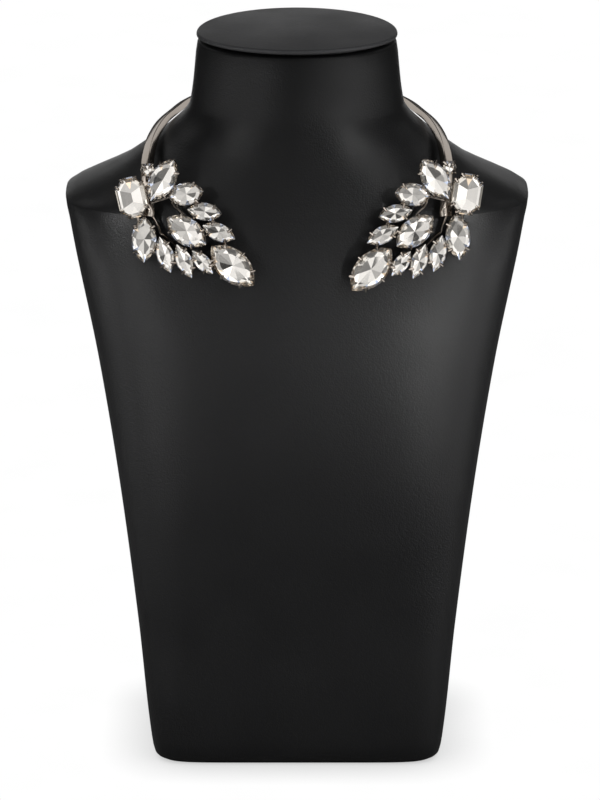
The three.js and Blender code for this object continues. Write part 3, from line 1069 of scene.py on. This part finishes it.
@dataclass
class Metalwork:
    """All the plated metal: collar, settings and the wires behind the stones, soldered into one."""

    collar: Collar = field(default_factory=Collar)
    settings: SettingMaker = field(default_factory=SettingMaker)
    frame_wire: float = 0.6
    frame_drop: float = 4.6
    wire_steps: int = 3
    wire_sides: int = 8
    sharp_degrees: float = 35.0

    def wires(self, bm: BMesh, wing: Wing) -> None:
        """Adds the wires of a wing."""
        places = {stone.name: (stone.out, stone.up) for stone in STONES}
        routes = [tuple(places[name] for name in names) for names in HIDDEN_WIRES]
        for wire in SHOWN_WIRES + [Wire(self.frame_wire, self.frame_drop, route) for route in routes]:
            line = smooth_line([wing.spot(out, up, wire.drop) for out, up in wire.route], self.wire_steps)
            skin(bm, wire_rings(line, [wire.radius] * len(line), self.wire_sides))

    def build(self, wings: list[Wing], cutter: StoneCutter, metal: Material) -> Object:
        """Builds the metalwork as one piece."""
        bm = bmesh.new()
        self.collar.build(bm)
        for wing in wings:
            for stone in STONES:
                shape = StoneShape(stone, wing.size)
                self.settings.rails(bm, shape, wing.seat(stone))
                self.settings.claws(bm, shape, cutter, wing.seat(stone))
            self.wires(bm, wing)
        name, slot = "collar_and_settings", "polished_silver_metal"
        return finish_piece(bm, name, [metal], ["metalwork"], self.sharp_degrees)


@dataclass
class Crystals:
    """The cut stones of both wings, with every edge between two facets kept sharp."""

    cutter: StoneCutter = field(default_factory=StoneCutter)
    sharp_degrees: float = 0.5

    def build(self, wings: list[Wing], glass: Material, foil: Material) -> list[Object]:
        """Cuts each stone and sets it in its place.

        Args:
            wings: the wings that hold the stones.
            glass: the material of the crown and table.
            foil: the material of the girdle and of the facets below it.

        Returns:
            The stones.
        """
        pieces = []
        for wing in wings:
            for stone in STONES:
                bm = self.cutter.cut(StoneShape(stone, wing.size))
                bmesh.ops.transform(bm, matrix=wing.seat(stone), verts=bm.verts)
                node, slot = f"{wing.label}_{stone.name}", "clear_crystal"
                piece = finish_piece(bm, f"{node}_cut", [glass, foil], [node], self.sharp_degrees)
                pieces.append(piece)
        return pieces


class Lit(Enum):
    """What a lamp lights: the bust, the paper, or the jewel with its own cards."""

    STAND = "stand"
    JEWEL = "jewel"
    PAPER = "paper"


@dataclass(frozen=True)
class Lamp:
    """A flat studio lamp: the way to it, its distance and size in metres, and how bright its face is.

    A grid on it narrows its beam to some degrees, and aim is then the middle of the pool of light.
    """

    name: str
    azimuth: float
    elevation: float
    distance: float
    width: float
    height: float
    brightness: float
    beam: float = 180.0
    aim: tuple[float, float, float] | None = None
    lit: Lit = Lit.STAND

    @property
    def power(self) -> float:
        """The power in watts that gives its face the brightness."""
        return self.brightness * math.pi * self.width * self.height


@dataclass(frozen=True)
class CardRing:
    """White and grey cards in a ring round the jewel, each seen in the facets that tilt towards it.

    The brightness of each card goes round from the right over the top; lean is how far the ring's axis
    points up, and off is the cone that the cards stand on. Cards whose way rises less than low_rise stand
    closer, above the floor.
    """

    name: str
    brightness: tuple[float, ...]
    off: float
    spread: float
    lean: float = 12.0
    distance: float = 0.9
    low_distance: float = 0.34
    low_rise: float = -0.05

    def lamps(self) -> list[Lamp]:
        """The ring's cards as lamps."""
        lean, off = math.radians(self.lean), math.radians(self.off)
        axis = Vector((0.0, -math.cos(lean), math.sin(lean)))
        right = Vector((1.0, 0.0, 0.0))
        over = right.cross(axis) * -1.0
        found = []
        for i, bright in enumerate(self.brightness):
            turn = 2 * math.pi * i / len(self.brightness)
            way = axis * math.cos(off) + (right * math.cos(turn) + over * math.sin(turn)) * math.sin(off)
            distance = self.low_distance if way.z < self.low_rise else self.distance
            wide = 2 * math.pi * math.sin(off) * distance / len(self.brightness)
            azimuth = math.degrees(math.atan2(way.x, -way.y))
            elevation = math.degrees(math.asin(way.z))
            high = self.spread * distance
            name = f"{self.name} {i}"
            found.append(Lamp(name, azimuth, elevation, distance, wide, high, bright, lit=Lit.JEWEL))
        return found


RIGHT_CHEST = (0.075, -0.045, 0.170)
LEFT_CHEST = (-0.075, -0.045, 0.170)
LOW_SIDES = (0.0, 0.0, 0.07)

LAMPS = [
    Lamp("left strip", -66.0, -8.0, 0.85, 0.40, 0.20, 4.1),
    Lamp("right strip", 66.0, -8.0, 0.85, 0.40, 0.20, 5.1),
    Lamp("left low card", -32.0, -8.0, 0.85, 0.32, 0.20, 3.8),
    Lamp("right low card", 38.0, -8.0, 0.85, 0.32, 0.20, 3.1),
    Lamp("middle low card", 12.0, -8.0, 0.85, 0.20, 0.20, 1.1),
    Lamp("left softbox", -42.0, 48.0, 1.6, 0.42, 0.60, 1.1),
    Lamp("right softbox", 42.0, 50.0, 1.6, 0.42, 0.60, 2.8),
    Lamp("right level softbox", 42.0, 6.0, 1.6, 0.42, 0.42, 1.0),
    Lamp("left gridded lamp", -37.0, 28.0, 0.7, 0.08, 0.08, 1.65, 26.0, LEFT_CHEST),
    Lamp("right gridded lamp", 34.0, 28.0, 0.7, 0.08, 0.08, 2.15, 26.0, RIGHT_CHEST),
    Lamp("right chest lamp", 18.0, -10.0, 0.7, 0.06, 0.06, 0.75, 15.0, (0.062, -0.050, 0.208)),
    Lamp("left chest lamp", -18.0, -8.0, 0.7, 0.06, 0.06, 0.18, 15.0, (-0.062, -0.050, 0.195)),
    Lamp("left back lamp", -120.0, 46.0, 1.6, 0.42, 0.80, 0.9),
    Lamp("right back lamp", 120.0, 46.0, 1.6, 0.42, 0.80, 0.7),
    Lamp("left side card", -96.0, -2.0, 0.85, 0.40, 0.24, 0.16, 30.0, LOW_SIDES),
    Lamp("right side card", 96.0, -2.0, 0.85, 0.40, 0.24, 0.15, 30.0, LOW_SIDES),
    Lamp("back card", 180.0, 2.0, 1.2, 1.0, 0.40, 0.9),
    Lamp("lid card", 180.0, 20.0, 1.6, 1.2, 0.5, 0.33),
    Lamp("base lamp", 0.0, 1.0, 0.8, 0.10, 0.05, 0.08, 14.0, (0.0, -0.045, 0.015)),
    Lamp("paper lamp", 0.0, 60.0, 2.4, 2.0, 1.6, 2.2, lit=Lit.PAPER),
    Lamp("ridge card", 0.0, 44.0, 0.9, 0.5, 0.12, 0.9, lit=Lit.JEWEL),
    Lamp("collar side left", -68.0, 34.0, 0.9, 0.5, 0.5, 0.65, lit=Lit.JEWEL),
    Lamp("collar side right", 68.0, 34.0, 0.9, 0.5, 0.5, 0.65, lit=Lit.JEWEL),
    Lamp("collar back left", -146.0, 34.0, 1.0, 0.8, 0.7, 0.65, lit=Lit.JEWEL),
    Lamp("collar back right", 146.0, 34.0, 1.0, 0.8, 0.7, 0.65, lit=Lit.JEWEL),
    Lamp("jewel lamp", 12.0, 34.0, 2.0, 0.12, 0.12, 30.0, lit=Lit.JEWEL),
]

FRONT_CARDS = (0.28, 0.65, 0.45, 0.70, 0.30, 0.52)
MAIN_CARDS = (0.95, 0.42, 0.92, 0.55, 0.97, 0.12, 0.90, 0.55, 0.95, 0.36, 0.88, 0.14)
RIM_CARDS = (0.45, 0.80, 0.25, 0.75, 0.18, 0.85, 0.35, 0.70)

CARD_RINGS = [
    CardRing("front card", FRONT_CARDS, 24.0, 0.30),
    CardRing("main card", MAIN_CARDS, 50.0, 0.46),
    CardRing("rim card", RIM_CARDS, 75.0, 0.32),
]


@dataclass
class Studio:
    """The camera at the photograph's angle, soft lamps, and a white floor and surroundings.

    The paper's glow carries a painted contact shadow: it dims from its full glow to a lower one near what
    stands on it. Light may bounce many times, as it does between the foil and the front of a stone.
    """

    target: tuple[float, float, float] = (0.0013, 0.0043, 0.1524)
    jewel: tuple[float, float, float] = (0.0, -0.045, 0.245)
    distance: float = 2.55
    elevation: float = 17.5
    lens: float = 260.55
    sensor: float = 36.0
    floor_size: float = 14.0
    painted_shadow_glow: float = 0.55
    paper_glow: float = 1.02
    paper_grain_mm: float = 40.0
    painted_shadow_mm: float = 24.0
    room_glow: float = 0.05
    bounces: int = 16
    sight: float = 50.0
    painted_shadow_samples: int = 8

    def direction(self, azimuth: float, elevation: float) -> Vector:
        """The way from the target to a place: azimuth 0 is the front, and 90 the right."""
        turn, rise = math.radians(azimuth), math.radians(elevation)
        level = math.cos(rise)
        return Vector((math.sin(turn) * level, -math.cos(turn) * level, math.sin(rise)))

    def camera(self) -> None:
        """Adds the camera and makes it the scene's."""
        data = bpy.data.cameras.new("photo_camera")
        data.sensor_fit = "VERTICAL"
        data.sensor_height = self.sensor
        data.lens = self.lens
        data.clip_end = self.sight
        camera = add_object("photo_camera", data)
        face_from(camera, Vector(self.target), self.direction(0.0, self.elevation), self.distance)
        bpy.context.scene.camera = camera

    def lights(self, jewel_pieces: list[Object], stand_pieces: list[Object], floor: Object) -> None:
        """Adds the lamps, each facing what it is aimed at, or else the jewel or the middle of the bust.

        Args:
            jewel_pieces: the pieces that the jewel's own cards light.
            stand_pieces: the pieces that the bust's lamps light.
            floor: the paper, whose own lamp lights it for what mirrors it.
        """
        groups = {Lit.JEWEL: jewel_pieces, Lit.STAND: stand_pieces, Lit.PAPER: [floor]}
        receivers = {lit: bpy.data.collections.new(lit.value) for lit in groups}
        for lit, pieces in groups.items():
            for piece in pieces:
                receivers[lit].objects.link(piece)
        for box in LAMPS + [lamp for ring in CARD_RINGS for lamp in ring.lamps()]:
            data = bpy.data.lights.new(box.name, "AREA")
            data.shape = "RECTANGLE"
            data.size, data.size_y = box.width, box.height
            data.energy = box.power
            data.spread = math.radians(box.beam)
            lamp = add_object(box.name, data)
            middle = Vector(box.aim or (self.jewel if box.lit is Lit.JEWEL else self.target))
            face_from(lamp, middle, self.direction(box.azimuth, box.elevation), box.distance)
            lamp.light_linking.receiver_collection = receivers[box.lit]
            lamp.visible_camera = False

    def surroundings(self) -> None:
        """White behind the object, and a dimmer grey room for what the metal and stones mirror."""
        world = bpy.data.worlds.new("studio")
        bpy.context.scene.world = world
        world.use_nodes = True
        tree = world.node_tree
        tree.nodes.clear()
        white = linear("ffffff")
        seen = add_node(tree, "ShaderNodeBackground", {"Color": white, "Strength": 1.0})
        room = add_node(tree, "ShaderNodeBackground", {"Color": white, "Strength": self.room_glow})
        both = seen_or_mirrored(tree, seen, room)
        add_node(tree, "ShaderNodeOutputWorld", {"Surface": both.outputs[0]})

    def floor(self) -> Object:
        """White paper: an even glow with a painted soft contact shadow as seen, and grey for what mirrors
        it.
        """
        material, tree, place = new_material("white_paper")
        scale = per_metre(self.paper_grain_mm)
        grain = add_node(tree, "ShaderNodeTexNoise", {"Vector": place, "Scale": scale})
        paper = add_node(
            tree, "ShaderNodeMix",
            {"Factor": grain.outputs["Fac"], 6: linear("fbfbfb"), 7: linear("ffffff")}, data_type="RGBA",
        )
        # Ambient occlusion dims the paper's glow near the bust's foot: a painted contact shadow.
        reach, samples = self.painted_shadow_mm * MM, self.painted_shadow_samples
        painted_contact_shadow = add_node(tree, "ShaderNodeAmbientOcclusion", {"Distance": reach}, samples=samples)
        light = add_node(
            tree, "ShaderNodeMapRange",
            {"Value": painted_contact_shadow.outputs["AO"], "To Min": self.painted_shadow_glow, "To Max": self.paper_glow},
        )
        white = add_node(
            tree, "ShaderNodeEmission", {"Color": paper.outputs[2], "Strength": light.outputs[0]},
        )
        grey = add_node(tree, "ShaderNodeBsdfDiffuse", {"Color": linear("979797")})
        end_material(tree, seen_or_mirrored(tree, white, grey))
        bm = bmesh.new()
        bmesh.ops.create_grid(bm, x_segments=1, y_segments=1, size=self.floor_size / 2)
        mesh = bpy.data.meshes.new("floor")
        bm.to_mesh(mesh)
        bm.free()
        mesh.materials.append(material)
        floor = add_object("floor", mesh)
        return floor

    def build(self, jewel_pieces: list[Object], stand_pieces: list[Object]) -> None:
        """Sets up the whole studio round the finished object.

        Args:
            jewel_pieces: the stones and the metalwork.
            stand_pieces: the bust and its lid.
        """
        bpy.context.scene.view_settings.view_transform = "Standard"
        paths = bpy.context.scene.cycles
        paths.max_bounces = paths.glossy_bounces = paths.transmission_bounces = self.bounces
        self.camera()
        self.surroundings()
        self.lights(jewel_pieces, stand_pieces, self.floor())


def corners(box: tuple) -> list[list[float]]:
    """A box as plain lists of numbers."""
    return [[float(value) for value in corner] for corner in box]


def main() -> None:
    """Builds the dressed part in its studio."""
    logging.basicConfig(level=logging.INFO, format="%(name)s: %(message)s")
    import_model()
    bust = NeckBust()
    stand_pieces = [
        bust.body(Leatherette("embossed_black_leatherette", "131314", "1c1c1d").build()),
        # The lid takes a lighter copy of the body's black leatherette: the lighter tone is painted sheen of
        # the light its flat top catches.
        bust.lid(Leatherette("lid_leatherette_painted_sheen", "545456", "606062").build()),
    ]
    wings = [Wing(1), Wing(-1)]
    crystals = Crystals()
    glass = CutGlass("cut_leaded_glass", "ffffff").build()
    foil = MirrorFoil("silvered_foil", crystals.cutter.attribute).build()
    silver = PlatedMetal("rhodium_plate", "bcb2a8").build()
    jewel_pieces = crystals.build(wings, glass, foil)
    jewel_pieces.append(Metalwork().build(wings, crystals.cutter, silver))
    Studio().build(jewel_pieces, stand_pieces)
    log.info("studio: camera, lamps and floor")


if __name__ == "__main__":
    main()
